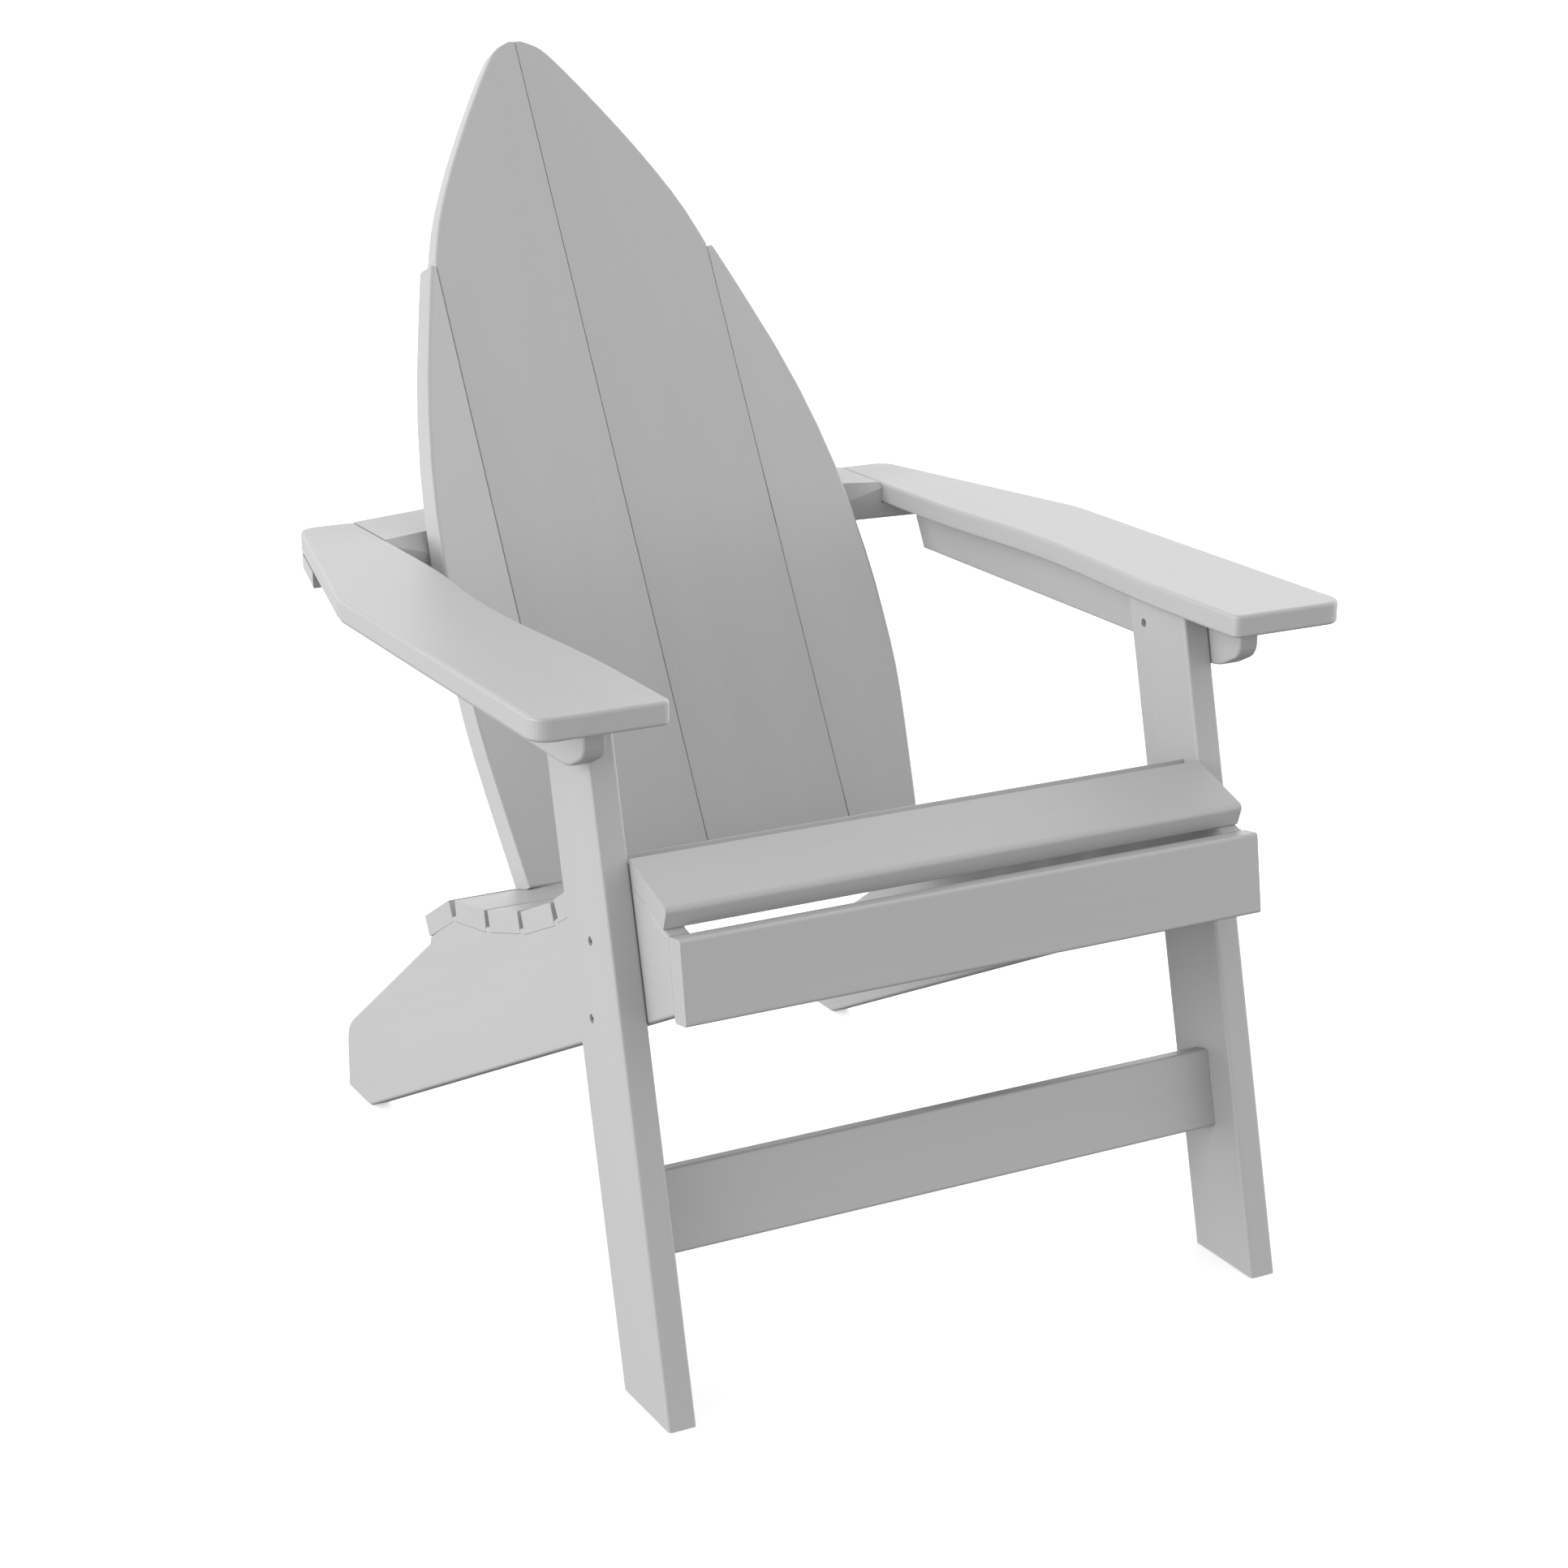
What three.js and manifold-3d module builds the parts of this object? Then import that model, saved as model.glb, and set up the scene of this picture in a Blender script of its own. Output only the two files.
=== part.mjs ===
// Adirondack chair in poly lumber. Millimetres, Z up, the sitter faces -Y and X = 0 is the mirror plane.
// Names ending in _left and _right are as seen from the front, with _left on the -X side.
import * as THREE from 'three';
import { mergeVertices } from 'three/addons/utils/BufferGeometryUtils.js';
import Module from 'manifold-3d';

// general
const GAP = 0.3; // air between touching pieces
const EDGE = 2.8; // round-over along board edges
const SLAT_EDGE = 1; // round-over along the seat slats' edges
const NOSE_EDGE = 4.5; // round-over along the seat's front edge
const CHAMFER = 0.7; // along the seams of the back
const SPARE = 4; // waste left past a seam before it is sawn
const BOARD = 20; // board thickness
const PLANK = 70; // slat width

// front legs
const LEG_INSIDE = 275;
const LEG_THICK = 25;
const LEG_OUTSIDE = LEG_INSIDE + LEG_THICK;
const LEG_DEPTH = 84.5; // measured level, front to back
const LEAN = 14; // degrees the legs and stretcher lean back

// arms
const ARM_TOP = 595.2;
const ARM_UNDER = ARM_TOP - BOARD;
const ARM_FRONT = 51.8;
const ARM_REAR = 735;
const ARM_INNER = 264;
const ARM_OUTER = 379.5;
const ARM_BEND = 468; // where the outer side starts to taper
const ARM_TAPER = Math.tan(12.95 * Math.PI / 180);

// seat
const SEAT_HALF = LEG_INSIDE - GAP;
const RAIL_THICK = 20;
const RAIL_TOOTH = 5; // how far the rails reach up between the slats
const SEAT_SLATS = [ // front top corner and slope of each slat, from the back to the front
  { y: 499.3, z: 291.4, slope: 30 },
  { y: 415.7, z: 308.8, slope: 10.5 },
  { y: 341.2, z: 332.2, slope: 17.5 },
  { y: 269.8, z: 362.8, slope: 24.5 },
  { y: 202.8, z: 404.1, slope: 31.5 },
  { y: 135.0, z: 445.7, slope: 31.5 },
];
const NOSE_SLAT = { y: 45.2, z: 428.5, slope: -18.5 };
const APRON = { y: 12.3, z: 341.4, slope: -81.4 };
const STRETCHER = { y: 63.5, z: 122.6, slope: LEAN - 90 };

// back
const RECLINE = 30; // degrees from upright
const BACK_Y = 344.4; // where the back's axis meets the ground
const FOLD_INNER = 7; // degrees each centre slat is turned
const FOLD_OUTER = 21; // degrees each outer slat is turned
const CENTRE_WIDTH = 146.5;
const BACK_FOOT = 323.5; // distances along the back's axis
const SHOULDER = 947;
const BRACE_FOOT = 330.1;
const BRACE_HEIGHT = 36;
const BRACE_DEPTH = 37;
const BRACE_REACH = 36; // beyond the outer seams

// rear crossbar
const BAR_HEIGHT = 36;
const BAR_FRONT = 650;
const BAR_END_FRONT = 642.8;
const BAR_REAR = 789.5;
const BAR_BEVEL = 652.5; // where its bevelled front edge meets the arms

const rad = THREE.MathUtils.degToRad;
const tan = (degrees) => Math.tan(rad(degrees));

// ---- outlines ----

// Closed outline through corners [x, y, radius], each rounded with an arc when it has a radius.
function outline(corners) {
  const shape = new THREE.Shape();
  corners.forEach(([x, y, radius = 0], i) => {
    const corner = new THREE.Vector2(x, y);
    const before = new THREE.Vector2(...corners[(i + corners.length - 1) % corners.length]);
    const after = new THREE.Vector2(...corners[(i + 1) % corners.length]);
    const a = before.sub(corner).normalize();
    const b = after.sub(corner).normalize();
    const half = Math.acos(THREE.MathUtils.clamp(a.dot(b), -1, 1)) / 2;
    const start = corner.clone().addScaledVector(a, radius / Math.tan(half));
    if (i === 0) {
      shape.moveTo(start.x, start.y);
    } else {
      shape.lineTo(start.x, start.y);
    }
    if (radius) {
      const end = corner.clone().addScaledVector(b, radius / Math.tan(half));
      const middle = a.clone().add(b).normalize();
      const centre = corner.clone().addScaledVector(middle, radius / Math.sin(half));
      const from = Math.atan2(start.y - centre.y, start.x - centre.x);
      const to = Math.atan2(end.y - centre.y, end.x - centre.x);
      shape.absarc(centre.x, centre.y, radius, from, to, a.cross(b) > 0);
    }
  });
  shape.closePath();
  return shape;
}

// Corners of a plank seen from the side: its face runs back from the point at the given slope. It can
// be grown on all sides or made thicker below.
function plankCorners({ y, z, slope }, { below = 0, grow = 0 } = {}) {
  const sin = Math.sin(rad(slope));
  const cos = Math.cos(rad(slope));
  const corner = (u, v) => [y + u * cos - v * sin, z - u * sin - v * cos];
  const under = BOARD + below + grow;
  const end = PLANK + grow;
  return [corner(-grow, -grow), corner(-grow, under), corner(end, under), corner(end, -grow)];
}

// ---- solids ----

function extrude(shape, depth, { round = EDGE, segments = 2, steps = 3 } = {}) {
  const geometry = new THREE.ExtrudeGeometry(shape, {
    depth: depth - 2 * round,
    bevelEnabled: round > 0,
    bevelThickness: round,
    bevelSize: round,
    bevelOffset: -round,
    bevelSegments: steps,
    curveSegments: segments,
  });
  return geometry.translate(0, 0, round);
}

// Lays a solid drawn in the side view (Y, Z) across X, starting at the given X.
function acrossX(geometry, x) {
  const turn = new THREE.Matrix4().set(0, 0, 1, x, 1, 0, 0, 0, 0, 1, 0, 0, 0, 0, 0, 1);
  return geometry.applyMatrix4(turn);
}

function weld(geometry) {
  const bare = geometry.clone();
  bare.deleteAttribute('normal');
  bare.deleteAttribute('uv');
  const welded = mergeVertices(bare, 1e-4);
  const kept = [];
  for (let i = 0; i < welded.index.count; i += 3) {
    const [a, b, c] = [0, 1, 2].map((k) => welded.index.getX(i + k));
    if (a !== b && b !== c && c !== a) {
      kept.push(a, b, c);
    }
  }
  welded.setIndex(kept);
  return welded;
}

const wasm = await Module();
wasm.setup();

function toSolid(geometry) {
  const welded = weld(geometry);
  return new wasm.Manifold(new wasm.Mesh({
    numProp: 3,
    vertProperties: new Float32Array(welded.attributes.position.array),
    triVerts: new Uint32Array(welded.index.array),
  }));
}

function fromSolid(solid) {
  const mesh = solid.getMesh();
  const geometry = new THREE.BufferGeometry();
  geometry.setAttribute('position', new THREE.BufferAttribute(new Float32Array(mesh.vertProperties), 3));
  geometry.setIndex(Array.from(mesh.triVerts));
  return geometry;
}

function cut(geometry, ...tools) {
  return fromSolid(tools.reduce((solid, tool) => solid.subtract(toSolid(tool)), toSolid(geometry)));
}

function block([x0, y0, z0], [x1, y1, z1]) {
  const geometry = new THREE.BoxGeometry(x1 - x0, y1 - y0, z1 - z0);
  return geometry.translate((x0 + x1) / 2, (y0 + y1) / 2, (z0 + z1) / 2);
}

const underneath = (z) => block([-500, -200, z - 100], [500, 1200, z]);
const overhead = (z) => block([-500, -200, z], [500, 1200, z + 100]);

// The same solid on the other side of the chair.
function mirror(geometry) {
  const copy = weld(geometry);
  copy.scale(-1, 1, 1);
  const index = Array.from(copy.index.array);
  for (let i = 0; i < index.length; i += 3) {
    [index[i], index[i + 1]] = [index[i + 1], index[i]];
  }
  copy.setIndex(index);
  return copy;
}

// A plank between the legs with square ends and its long edges rounded, the upper front one as a nose.
function plank(place, edge = EDGE, nose = edge) {
  const corners = plankCorners(place).map(([y, z], i) => [y, z, i === 0 ? nose : edge]);
  return acrossX(extrude(outline(corners), 2 * SEAT_HALF, { round: 0 }), -SEAT_HALF);
}

// ---- screws ----

const SCREW_HEAD = 3.5;
const SCREW_LENGTH = 37;
const SCREW_SINK = 0.9; // how far the head sits below the face

// Profile [radius, depth below the face] from the drive socket to the tip; grown for the hole.
function screwProfile(grow) {
  const head = SCREW_HEAD + grow;
  const shank = 2 + grow;
  const top = grow > 0 ? -2 : SCREW_SINK;
  const tip = SCREW_LENGTH + grow;
  const socket = grow > 0 ? [[0, top]] : [[0, top + 1.4], [1.5, top + 1.4], [1.6, top], [head - 0.6, top]];
  const rim = grow > 0 ? [[head, top]] : [[head, top + 0.5]];
  return [...socket, ...rim, [head, 3.4 + grow], [shank, 3.4 + grow], [shank, tip - 4], [0, tip]];
}

// A turned solid whose head lies on the face at X. It runs along -X, or along +X in direction 1.
function screwSolid([x, y, z], grow = 0, direction = -1) {
  const points = screwProfile(grow).map(([radius, depth]) => new THREE.Vector2(radius, -depth));
  const geometry = new THREE.LatheGeometry(points.reverse(), 16);
  geometry.rotateZ(direction * Math.PI / 2);
  return geometry.translate(x, y, z);
}

const LEG_SCREWS = [[LEG_OUTSIDE, 133.6, 377.8], [LEG_OUTSIDE, 133.6, 311.0]];
const ARM_SCREW = [LEG_INSIDE, 202, 553.5];
const SCREW_ROOM = 0.35;
const legHoles = LEG_SCREWS.map((place) => screwSolid(place, SCREW_ROOM));
const armHole = screwSolid(ARM_SCREW, SCREW_ROOM, 1);

// ---- legs, stretcher and arm rails ----

const legShape = outline([
  [tan(LEAN) * -10, -10], [LEG_DEPTH + tan(LEAN) * -10, -10],
  [LEG_DEPTH + tan(LEAN) * 600, 600], [tan(LEAN) * 600, 600],
]);
const leg = cut(acrossX(extrude(legShape, LEG_THICK), LEG_INSIDE),
  underneath(0), overhead(ARM_UNDER - GAP), ...legHoles, armHole);

const armRailShape = outline([
  [94, 545, 16], [125, 528.7, 50], [627, 528.7], [BAR_END_FRONT, 557], [BAR_END_FRONT, 600], [94, 600],
]);
const armRail = cut(acrossX(extrude(armRailShape, BOARD), LEG_OUTSIDE + GAP),
  overhead(ARM_UNDER - GAP), armHole);

// ---- arms ----

const taperX = (y) => ARM_OUTER - ARM_TAPER * (y - ARM_BEND);
const armShape = outline([
  [ARM_INNER, ARM_FRONT, 8],
  [ARM_OUTER, ARM_FRONT, 18],
  [ARM_OUTER, ARM_BEND, 120],
  [taperX(ARM_REAR), ARM_REAR, 20],
  [ARM_INNER, ARM_REAR, 4],
  [ARM_INNER, 520, 900],
  [ARM_INNER + 14, 372, 900],
  [ARM_INNER, 190, 900],
]);
const arm = extrude(armShape, BOARD, { segments: 4 }).translate(0, 0, ARM_UNDER);

// ---- seat ----

// Top of a side rail, from the back to the front: the slats are let into it, so that it ends flush
// with the outer ones and reaches up between the others.
const railTop = [...SEAT_SLATS, NOSE_SLAT].flatMap((place, i) => {
  const behind = plankCorners(place, { below: i === 0 ? GAP : -RAIL_TOOTH })[2];
  const ahead = plankCorners(place, { below: i === SEAT_SLATS.length ? GAP : -RAIL_TOOTH })[1];
  return [behind, ahead];
});
const seatRailShape = outline([
  [746.6, -10], [790.4, -10], [787.4, 65.9, 36], [549.6, 233.7], ...railTop, [43.2, 407.3], [33.4, 343.6],
]);
const slatRoom = [...SEAT_SLATS, NOSE_SLAT].map((place) => {
  const grown = outline(plankCorners(place, { grow: GAP }));
  return acrossX(extrude(grown, 2 * LEG_INSIDE, { round: 0 }), -LEG_INSIDE);
});
const seatRail = cut(acrossX(extrude(seatRailShape, RAIL_THICK), SEAT_HALF - RAIL_THICK),
  underneath(0), ...legHoles, ...slatRoom);

// ---- back ----

const seamX = CENTRE_WIDTH * Math.cos(rad(FOLD_INNER));
const seamForward = CENTRE_WIDTH * Math.sin(rad(FOLD_INNER));

// Half of a surface lying the given depth behind the faces of the folded back, from the middle
// to a reach beyond the outer seam. Points are [X, distance behind the middle of the back].
function behindBack(depth, reach) {
  const middleFold = (FOLD_OUTER + FOLD_INNER) / 2;
  const seam = depth / Math.cos(rad(FOLD_OUTER - middleFold));
  const sin = Math.sin(rad(FOLD_OUTER));
  const cos = Math.cos(rad(FOLD_OUTER));
  return [
    [0, depth / Math.cos(rad(FOLD_INNER))],
    [seamX + seam * Math.sin(rad(middleFold)), seam * Math.cos(rad(middleFold)) - seamForward],
    [seamX + reach * cos + depth * sin, depth * cos - reach * sin - seamForward],
  ];
}

const bothSides = (half) => [...half.slice(1).reverse().map(([x, y]) => [-x, y]), ...half];

// Sets a solid drawn as (across, along the back, forward) into the reclined back.
function intoBack(geometry, fold = 0, x = 0, forward = 0) {
  geometry.rotateY(-rad(fold)).translate(x, 0, forward);
  return geometry.rotateX(rad(90 - RECLINE)).translate(0, BACK_Y, 0);
}

// Outline of a back slat, cut wider than its seams: its inner side is straight and its outer side is
// a curve through points up to a tip that is an arc of the given radius, height of centre and start.
function backSlatShape([foot, ...side], tip) {
  const shape = new THREE.Shape();
  const centre = new THREE.Vector2(GAP / 2 + tip.radius, tip.height);
  const reach = new THREE.Vector2(tip.radius, 0).rotateAround(new THREE.Vector2(), rad(tip.start));
  shape.moveTo(-SPARE, BACK_FOOT);
  shape.lineTo(foot[0], BACK_FOOT);
  shape.lineTo(...foot);
  shape.splineThru([...side.map((point) => new THREE.Vector2(...point)), centre.clone().add(reach)]);
  shape.absarc(centre.x, centre.y, tip.radius, rad(tip.start), Math.PI / 2, false);
  shape.lineTo(-SPARE, tip.height + tip.radius);
  shape.closePath();
  return shape;
}

// A tool that saws a slat along its seam at x, with the waste on the given side, and breaks the
// sharp edge of its face.
function seamSaw(x, side) {
  const waste = x + side * 40;
  const saw = outline([
    [x, BOARD + 5], [x, CHAMFER], [x - side * (CHAMFER + 5), -5], [waste, -5], [waste, BOARD + 5],
  ]);
  return extrude(saw, 900, { round: 0 }).rotateX(-Math.PI / 2).translate(0, 300, 0);
}

const centreShape = backSlatShape([
  [CENTRE_WIDTH + SPARE, SHOULDER - 18], [CENTRE_WIDTH, SHOULDER - 4], [130, 989], [105, 1039],
  [79, 1084], [52, 1127], [33.5, 1154], [22, 1166.5],
], { radius: 5, height: 1169.7, start: 66 });
const outerShape = backSlatShape([
  [65, BACK_FOOT + 1], [74, 400], [81, 468], [82.6, 525], [80.5, 600], [70.5, 700],
  [49.5, 800], [18.5, 900],
], { radius: 3.2, height: 935, start: 22 });

const slatsUnderBack = slatRoom.slice(0, 2);
const backSlat = (shape, ...saws) => cut(extrude(shape, BOARD).translate(0, 0, -BOARD), ...saws);
const innerSaw = seamSaw(GAP / 2, -1);
const centreSlat = cut(
  intoBack(backSlat(centreShape, innerSaw, seamSaw(CENTRE_WIDTH - GAP / 2, 1)), FOLD_INNER),
  ...slatsUnderBack,
);
const outerSlat = cut(
  intoBack(backSlat(outerShape, innerSaw), FOLD_OUTER, seamX, seamForward),
  ...slatsUnderBack,
);

const braceShape = outline([
  ...bothSides(behindBack(BOARD + GAP, BRACE_REACH)),
  ...bothSides(behindBack(BOARD + BRACE_DEPTH, BRACE_REACH - 14)).reverse(),
]);
const brace = extrude(braceShape, BRACE_HEIGHT, { round: 2, steps: 2 });
const lowerBrace = intoBack(brace.rotateX(-Math.PI / 2).translate(0, BRACE_FOOT, 0));

// ---- rear crossbar ----

// A tool that clears all in front of a line at arm height, leaning back by the given degrees.
function clearInFront(points, lean) {
  const shape = outline([...points, [points.at(-1)[0], 400], [points[0][0], 400]]);
  const slope = tan(lean);
  const shear = new THREE.Matrix4().set(1, 0, 0, 0, 0, 1, slope, -slope * ARM_TOP, 0, 0, 1, 0, 0, 0, 0, 1);
  return extrude(shape, 200, { round: 0 }).translate(0, 0, ARM_TOP - 100).applyMatrix4(shear);
}

const backAtArms = BACK_Y + ARM_TOP * tan(RECLINE);
const levelPoint = ([x, behind]) => [x, backAtArms + behind / Math.cos(rad(RECLINE))];
const rearOfBack = behindBack(BOARD + GAP, 160).map(levelPoint);
const bevelLine = [...rearOfBack.slice(0, 2), [ARM_INNER, BAR_BEVEL], [ARM_INNER + 60, BAR_BEVEL - 20]];
const barEnd = [taperX(BAR_END_FRONT), BAR_END_FRONT];
const barCorner = [321.1, 722.1, 10];
const barShape = outline([
  [-barEnd[0], barEnd[1]], [-225, BAR_FRONT], [225, BAR_FRONT], barEnd,
  barCorner, [147, 768.7], [0, BAR_REAR], [-147, 768.7], [-barCorner[0], barCorner[1], barCorner[2]],
]);
const lap = block([ARM_INNER - GAP, 500, ARM_UNDER - GAP], [500, 900, 700]);
const crossbar = cut(
  extrude(barShape, BAR_HEIGHT).translate(0, 0, ARM_TOP - BAR_HEIGHT),
  clearInFront(bothSides(rearOfBack), RECLINE),
  clearInFront(bothSides(bevelLine), 45),
  lap,
  mirror(lap),
);

// ---- assembly ----

const LUMBER = { color: 0xc4c4c4, roughness: 0.55, metalness: 0 };
const STEEL = { color: 0xb4b4b4, roughness: 0.35, metalness: 0.9 };
const chair = new THREE.Group();
chair.name = 'adirondack_chair';

function add(name, geometry, material = LUMBER) {
  const mesh = new THREE.Mesh(geometry, new THREE.MeshStandardMaterial(material));
  mesh.name = name;
  chair.add(mesh);
}

function addPair(name, geometry, material) {
  add(`${name}_left`, mirror(geometry), material);
  add(`${name}_right`, weld(geometry), material);
}

addPair('front_leg', leg);
addPair('arm_rail', armRail);
addPair('arm', arm);
addPair('seat_rail', seatRail);
SEAT_SLATS.forEach((place, i) => add(`seat_slat_${i + 1}`, plank(place, SLAT_EDGE)));
add('seat_front_slat', plank(NOSE_SLAT, SLAT_EDGE, NOSE_EDGE));
add('front_apron', plank(APRON));
add('front_stretcher', plank(STRETCHER));
addPair('back_slat_centre', centreSlat);
addPair('back_slat_outer', outerSlat);
add('back_lower_brace', lowerBrace);
add('rear_crossbar', crossbar);
LEG_SCREWS.forEach((place, i) => addPair(`seat_rail_screw_${i + 1}`, screwSolid(place), STEEL));
addPair('arm_rail_screw', screwSolid(ARM_SCREW, 0, 1), STEEL);

// The origin is on the ground in the middle of the chair's plan.
const extent = new THREE.Box3().setFromObject(chair);
chair.children.forEach((mesh) => mesh.geometry.translate(0, -(extent.min.y + extent.max.y) / 2, 0));

export default chair;
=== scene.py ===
"""Adirondack chair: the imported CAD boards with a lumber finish, a pale floor and soft studio light."""
import math

import bpy
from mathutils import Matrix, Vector

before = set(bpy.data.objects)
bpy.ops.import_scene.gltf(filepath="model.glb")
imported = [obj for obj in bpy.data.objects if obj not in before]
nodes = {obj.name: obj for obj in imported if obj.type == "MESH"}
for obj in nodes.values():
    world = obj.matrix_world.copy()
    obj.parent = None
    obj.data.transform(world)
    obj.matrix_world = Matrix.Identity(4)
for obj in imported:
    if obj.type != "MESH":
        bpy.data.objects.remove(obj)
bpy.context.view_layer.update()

# ---- camera: to the front left of the chair and above it ----

CAMERA_AT = (-1.2683, -2.4716, 1.2615)
CAMERA_AZIMUTH = 28.24
CAMERA_PITCH = 17.83
CAMERA_LENS = 71.42


def make_camera():
    data = bpy.data.cameras.new("camera")
    data.sensor_width = 36
    data.lens = CAMERA_LENS
    camera = bpy.data.objects.new("camera", data)
    bpy.context.scene.collection.objects.link(camera)
    camera.location = CAMERA_AT
    camera.rotation_euler = (math.radians(90 - CAMERA_PITCH), 0, math.radians(-CAMERA_AZIMUTH))
    bpy.context.scene.camera = camera


make_camera()

# ---- materials ----

LUMBER_GREY = 0.435  # linear
GREY_DARKEST = 0.975  # of that grey, along the grain
GREY_LIGHTEST = 1.02
STEEL_GREY = 0.5


class Nodes:
    """Builds a shader tree, one call per node."""

    def __init__(self, tree):
        self.tree = tree
        self.tree.nodes.clear()

    def add(self, kind, inputs=None, **settings):
        node = self.tree.nodes.new(kind)
        for key, value in settings.items():
            setattr(node, key, value)
        for key, value in (inputs or {}).items():
            if isinstance(value, bpy.types.NodeSocket):
                self.tree.links.new(value, node.inputs[key])
            else:
                node.inputs[key].default_value = value
        return node


def grey(value):
    return (value, value, value, 1)


def spread(tree, value, low, high):
    """Maps the middle range of a noise onto low to high."""
    inputs = {"Value": value, "From Min": 0.3, "From Max": 0.7, "To Min": low, "To Max": high}
    return tree.add("ShaderNodeMapRange", inputs).outputs[0]


def lumber(name, along):
    """Light grey poly lumber with a fine grain that runs in the direction along."""
    material = bpy.data.materials.new(name)
    material.use_nodes = True
    tree = Nodes(material.node_tree)
    turn = Vector(along).to_track_quat("X", "Z").inverted().to_euler()
    where = tree.add("ShaderNodeTexCoord").outputs["Object"]
    placed = tree.add("ShaderNodeMapping", {"Vector": where, "Rotation": turn}).outputs[0]
    streaks = tree.add("ShaderNodeMapping", {"Vector": placed, "Scale": (6, 260, 260)}).outputs[0]
    grain = tree.add("ShaderNodeTexNoise", {"Vector": streaks, "Scale": 1.0, "Detail": 6, "Roughness": 0.6})
    wide = tree.add("ShaderNodeMapping", {"Vector": placed, "Scale": (1.5, 28, 28)}).outputs[0]
    bands = tree.add("ShaderNodeTexNoise", {"Vector": wide, "Scale": 1.0, "Detail": 3, "Roughness": 0.5})
    fleck = tree.add("ShaderNodeTexNoise", {"Vector": where, "Scale": 900, "Detail": 2})
    both = tree.add("ShaderNodeMix", {"Factor": 0.45, "A": grain.outputs["Fac"], "B": bands.outputs["Fac"]},
                    data_type="FLOAT").outputs[0]
    ramp = tree.add("ShaderNodeValToRGB", {"Fac": both})
    dark, light = ramp.color_ramp.elements
    dark.position = 0.3
    dark.color = grey(LUMBER_GREY * GREY_DARKEST)
    light.position = 0.7
    light.color = grey(LUMBER_GREY * GREY_LIGHTEST)
    rough = spread(tree, fleck.outputs["Fac"], 0.36, 0.46)
    ridges = tree.add("ShaderNodeBump", {
        "Height": grain.outputs["Fac"], "Strength": 0.06, "Distance": 0.0004,
    })
    pores = tree.add("ShaderNodeBump", {
        "Height": fleck.outputs["Fac"], "Strength": 0.05, "Distance": 0.0002, "Normal": ridges.outputs[0],
    })
    shader = tree.add("ShaderNodeBsdfPrincipled", {
        "Base Color": ramp.outputs[0], "Roughness": rough, "Normal": pores.outputs[0],
        "Specular IOR Level": 0.5,
    })
    tree.add("ShaderNodeOutputMaterial", {"Surface": shader.outputs[0]})
    return material


def steel(name):
    """Stainless steel with a fine, uneven brushing."""
    material = bpy.data.materials.new(name)
    material.use_nodes = True
    tree = Nodes(material.node_tree)
    where = tree.add("ShaderNodeTexCoord").outputs["Object"]
    noise = tree.add("ShaderNodeTexNoise", {"Vector": where, "Scale": 700, "Detail": 4})
    rough = spread(tree, noise.outputs["Fac"], 0.3, 0.45)
    bump = tree.add("ShaderNodeBump", {
        "Height": noise.outputs["Fac"], "Strength": 0.05, "Distance": 0.0002,
    })
    shader = tree.add("ShaderNodeBsdfPrincipled", {
        "Base Color": grey(STEEL_GREY), "Metallic": 1.0, "Roughness": rough, "Normal": bump.outputs[0],
    })
    tree.add("ShaderNodeOutputMaterial", {"Surface": shader.outputs[0]})
    return material


LEG_LEAN = math.radians(14)
RAIL_SLOPE = math.radians(26.4)
RECLINE = math.radians(30)
ACROSS = (1, 0, 0)
ALONG_ARM = (0, 1, 0)
UP_LEG = (0, math.sin(LEG_LEAN), math.cos(LEG_LEAN))
DOWN_RAIL = (0, math.cos(RAIL_SLOPE), -math.sin(RAIL_SLOPE))
UP_BACK = (0, math.sin(RECLINE), math.cos(RECLINE))
SHARP_EDGE = math.radians(50)

# The direction of the grain in each board, by the start of its name.
GRAIN = {
    "front_leg": UP_LEG,
    "arm_rail": ALONG_ARM,
    "arm_left": ALONG_ARM,
    "arm_right": ALONG_ARM,
    "seat_rail": DOWN_RAIL,
    "seat_slat": ACROSS,
    "seat_front": ACROSS,
    "front_apron": ACROSS,
    "front_stretcher": ACROSS,
    "back_slat": UP_BACK,
    "back_lower": ACROSS,
    "rear_crossbar": ACROSS,
}


def finish_boards():
    finishes = {}
    screw = steel("screw_steel")
    for name, obj in nodes.items():
        if "screw" in name:
            material = screw
        else:
            along = next(direction for start, direction in GRAIN.items() if name.startswith(start))
            if along not in finishes:
                finishes[along] = lumber(f"lumber_{len(finishes) + 1}", along)
            material = finishes[along]
        obj.data.materials.clear()
        obj.data.materials.append(material)
        obj.data.polygons.foreach_set("use_smooth", [True] * len(obj.data.polygons))
        obj.data.set_sharp_from_angle(angle=SHARP_EDGE)
        normals = obj.modifiers.new("flat_faces", "WEIGHTED_NORMAL")
        normals.keep_sharp = True
        normals.weight = 100


finish_boards()

# ---- floor and light ----


FLOOR_REACH = 60
FLOOR_DROP = 0.0005  # below the feet
FLOOR_GREY = 0.9
FLOOR_GLOW = 0.45  # lifts the floor to white


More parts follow.
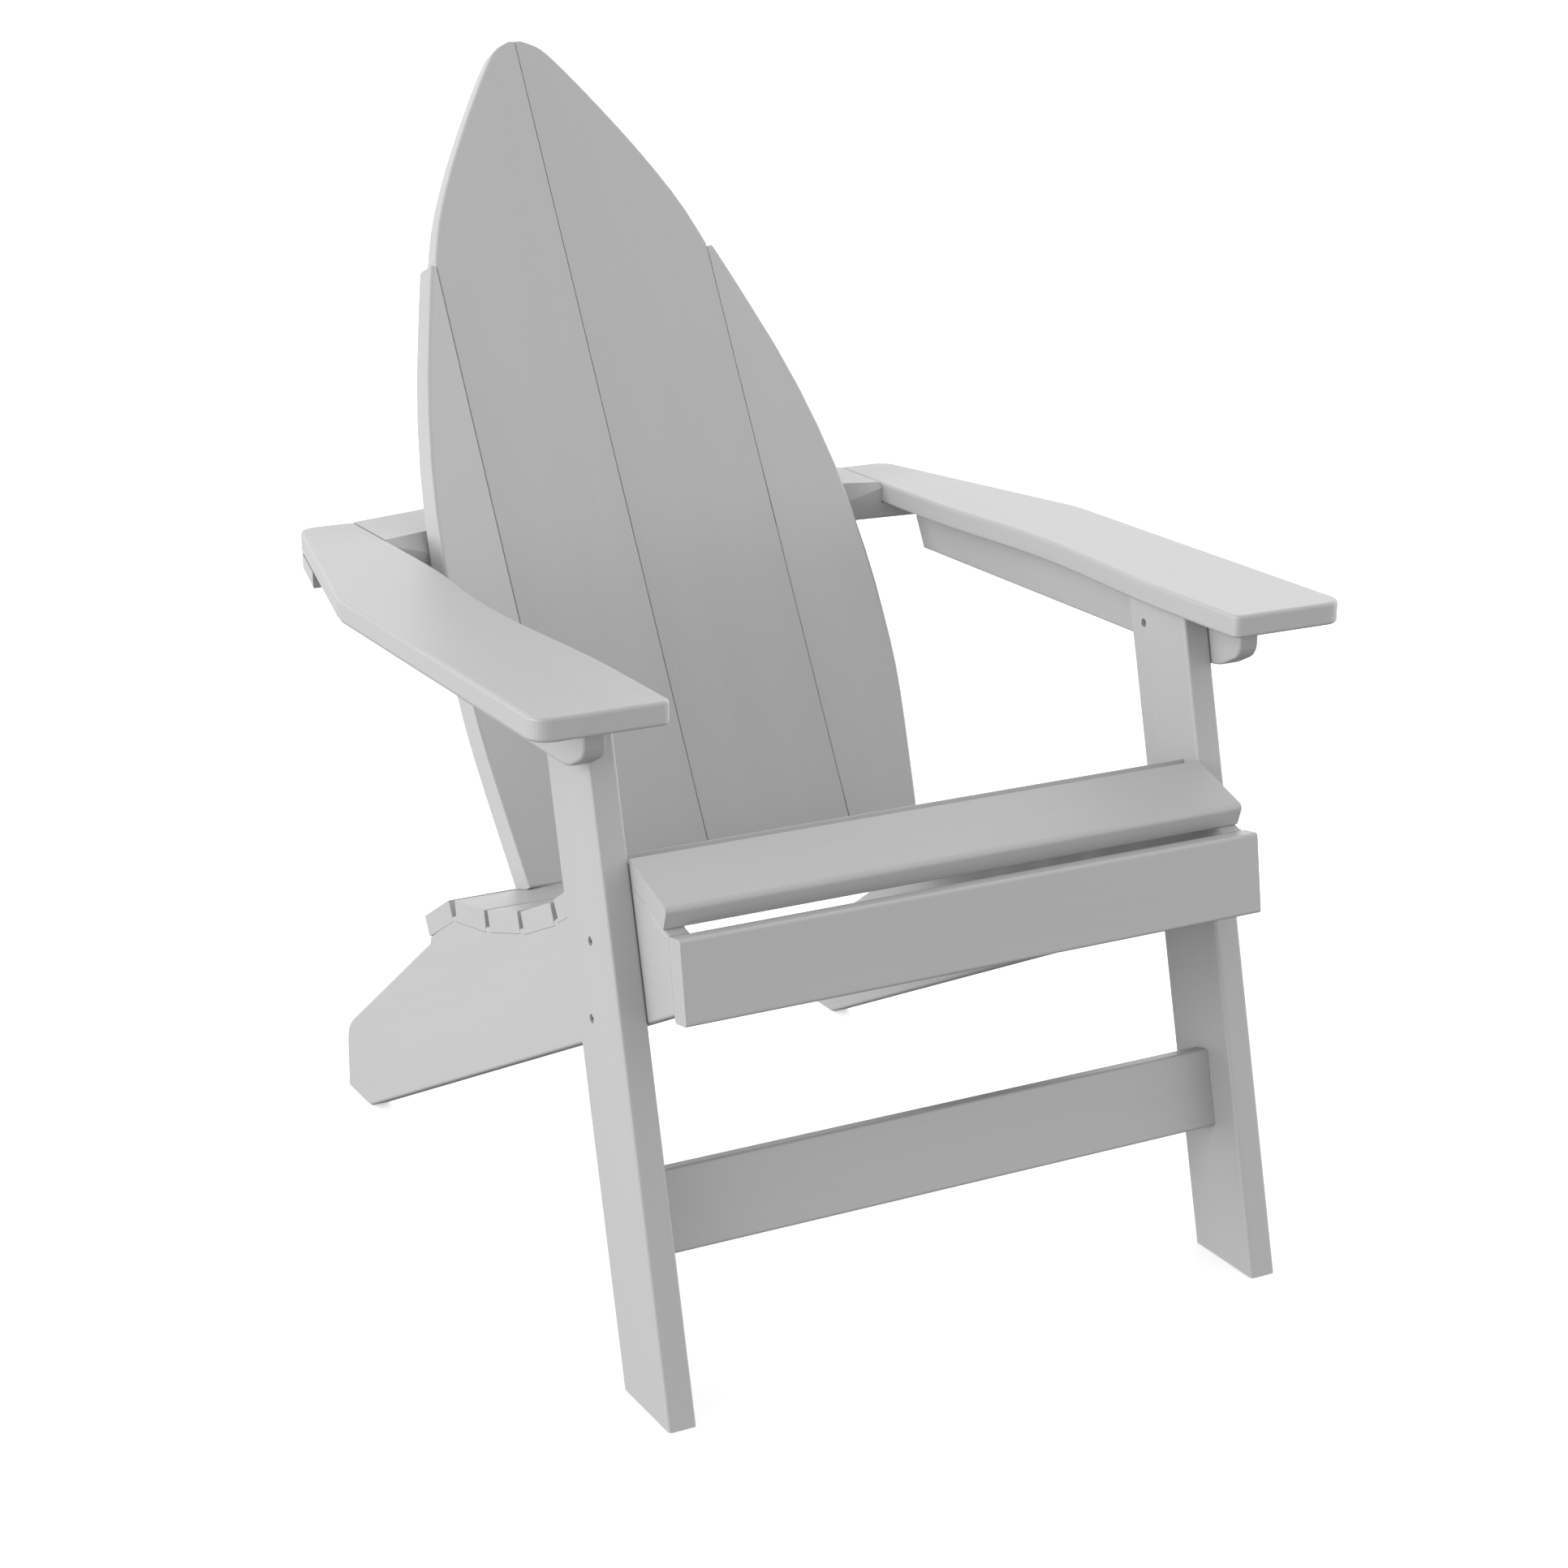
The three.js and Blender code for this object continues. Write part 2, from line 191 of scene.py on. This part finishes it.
def make_floor():
    reach = FLOOR_REACH
    mesh = bpy.data.meshes.new("floor")
    corners = [(-reach, -reach, 0), (reach, -reach, 0), (reach, reach, 0), (-reach, reach, 0)]
    mesh.from_pydata(corners, [], [(0, 1, 2, 3)])
    floor = bpy.data.objects.new("floor", mesh)
    bpy.context.scene.collection.objects.link(floor)
    floor.location.z = -FLOOR_DROP
    material = bpy.data.materials.new("floor_pale")
    material.use_nodes = True
    tree = Nodes(material.node_tree)
    shader = tree.add("ShaderNodeBsdfPrincipled", {
        "Base Color": grey(FLOOR_GREY), "Roughness": 0.9, "Specular IOR Level": 0.1,
        "Emission Color": grey(1), "Emission Strength": FLOOR_GLOW,
    })
    tree.add("ShaderNodeOutputMaterial", {"Surface": shader.outputs[0]})
    mesh.materials.append(material)
    floor.visible_diffuse = False
    floor.visible_glossy = False


AMBIENT = 0.1
DARK_BELOW = -0.7  # height on the surround's unit sphere under which the glows are out
LIT_ABOVE = -0.05

# Each glow: the side of the chair it is on, how tight it is, how bright it is.
GLOWS = [
    ((-1, 0, 0.15), 8, 5.95),
    ((1, 0, 0.15), 8, 1.6),
    ((1, 0, 0), 1, 1.2),
    ((0, 1, 0), 1, 1.26),
    ((0, -1, 0), 1, 0.62),
    ((0, 0, 1), 3, 0.22),
]


def make_world():
    """Studio surround of soft glows that fade out towards the ground."""
    world = bpy.data.worlds.new("studio")
    world.use_nodes = True
    bpy.context.scene.world = world
    tree = Nodes(world.node_tree)
    where = tree.add("ShaderNodeTexCoord").outputs["Generated"]
    total = 0.0
    for side, tightness, brightness in GLOWS:
        facing = tree.add("ShaderNodeVectorMath", {0: where, 1: Vector(side).normalized()},
                          operation="DOT_PRODUCT").outputs["Value"]
        lit = tree.add("ShaderNodeMath", {0: facing, 1: 0.0}, operation="MAXIMUM").outputs[0]
        shaped = tree.add("ShaderNodeMath", {0: lit, 1: tightness}, operation="POWER").outputs[0]
        total = tree.add("ShaderNodeMath", {0: shaped, 1: brightness, 2: total},
                         operation="MULTIPLY_ADD").outputs[0]
    height = tree.add("ShaderNodeSeparateXYZ", {"Vector": where}).outputs["Z"]
    above = tree.add("ShaderNodeMapRange", {
        "Value": height, "From Min": DARK_BELOW, "From Max": LIT_ABOVE, "To Min": 0.0, "To Max": 1.0,
    }).outputs[0]
    strength = tree.add("ShaderNodeMath", {0: total, 1: above, 2: AMBIENT},
                        operation="MULTIPLY_ADD").outputs[0]
    sky = tree.add("ShaderNodeBackground", {"Color": grey(1), "Strength": strength})
    tree.add("ShaderNodeOutputWorld", {"Surface": sky.outputs[0]})


make_floor()
make_world()

scene = bpy.context.scene
scene.view_settings.view_transform = "Standard"
scene.view_settings.look = "None"
